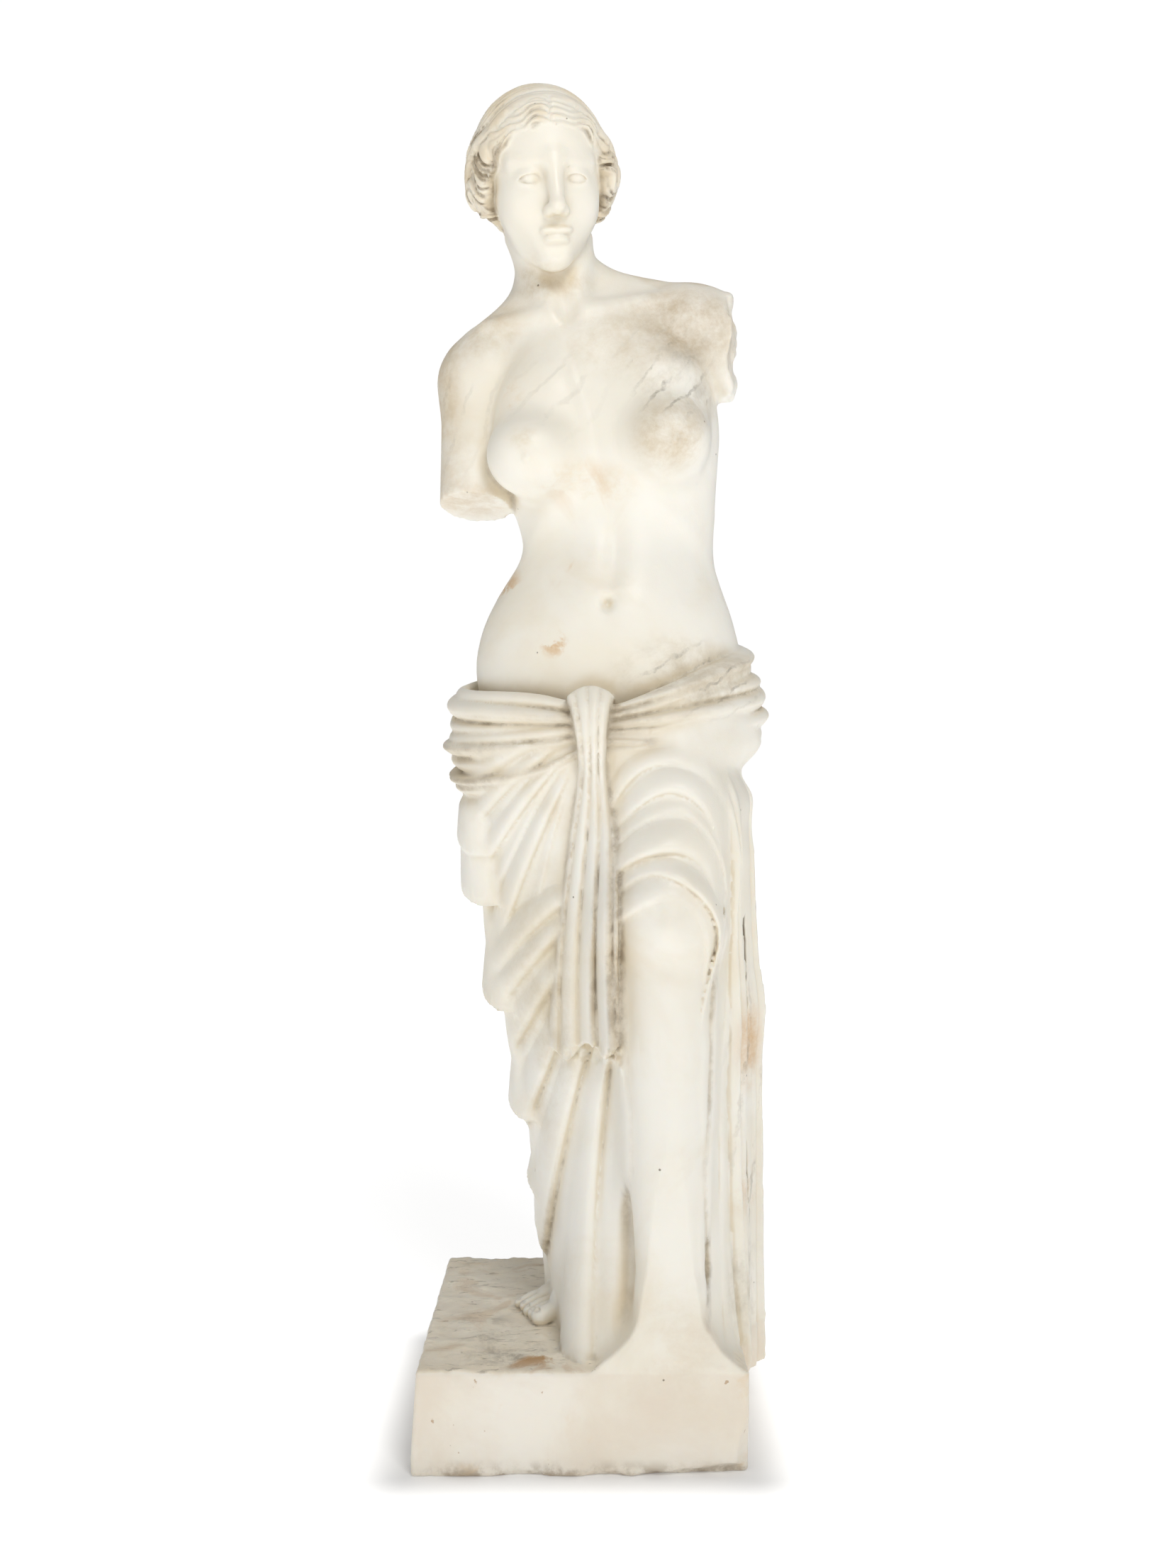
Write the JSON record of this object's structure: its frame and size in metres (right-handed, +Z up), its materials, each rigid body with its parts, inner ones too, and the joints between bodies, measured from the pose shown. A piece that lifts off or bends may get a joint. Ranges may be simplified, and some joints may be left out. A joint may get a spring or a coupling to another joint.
{
  "type": "half-draped goddess statue",
  "caption": "Standing half-draped classical goddess in white marble, armless, on a low block plinth, carved as one piece.",
  "frame": {"origin": "middle of the plinth's underside", "axes": "+Z up, along the figure's height; -Y is the front of the plinth; +X is the figure's left side"},
  "size_m": [0.3248, 0.33, 1.2501],
  "materials": {
    "marble": "weathered white marble, rubbed smooth, stained in its hollows"
  },
  "bodies": {
    "root": {"statue": "marble"}
  },
  "joints": []
}
